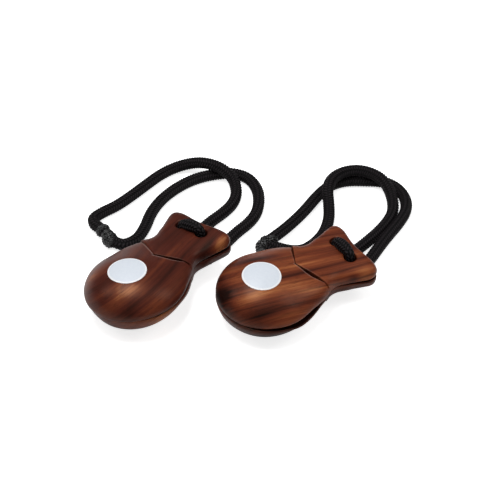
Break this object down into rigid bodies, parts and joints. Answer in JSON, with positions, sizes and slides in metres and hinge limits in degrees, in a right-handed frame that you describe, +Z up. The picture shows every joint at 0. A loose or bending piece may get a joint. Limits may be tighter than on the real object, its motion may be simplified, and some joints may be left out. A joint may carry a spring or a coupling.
{
  "type": "castanets",
  "caption": "Hand castanets: laced pairs of hollowed, domed wooden shells with winged ears, lying on a table with their knotted cord loops spread behind.",
  "frame": {"origin": "on the table top, under the middle of the wooden shells' bounding box seen from above", "axes": "+X to the right along the row of the two pairs, +Y away from the front towards the cord loops, +Z up"},
  "size_m": [0.1756, 0.143, 0.0317],
  "materials": {
    "left_wood": "satin lacquer",
    "right_wood": "satin lacquer, darker streaks along the grain",
    "label": "smooth coated paper, bare",
    "cord": "braided"
  },
  "bodies": {
    "left_base": {"left_lower_shell": "left_wood", "left_lacing": "cord", "left_inner_strand": "cord", "left_outer_strand": "cord", "left_knot": "cord"},
    "left_top": {"left_upper_shell": "left_wood", "left_label": "label"},
    "right_base": {"right_lower_shell": "right_wood", "right_lacing": "cord", "right_inner_strand": "cord", "right_outer_strand": "cord", "right_knot": "cord"},
    "right_top": {"right_upper_shell": "right_wood", "right_label": "label"}
  },
  "joints": [
    {"name": "left_clap", "type": "hinge", "parent": "left_base", "child": "left_top", "pos_m": [-0.0287, 0.0131, 0.01572], "axis": [-0.783, 0.6148, -0.0941], "range_deg": [0, 4.5]},
    {"name": "right_lift", "type": "slide", "parent": "left_base", "child": "right_base", "axis": [0, 0, 1], "range_m": [0, 0.08]},
    {"name": "right_clap", "type": "hinge", "parent": "right_base", "child": "right_top", "pos_m": [0.0462, 0.00145, 0.01567], "axis": [-0.533, 0.8448, 0.0471], "range_deg": [0, 4.5]}
  ]
}
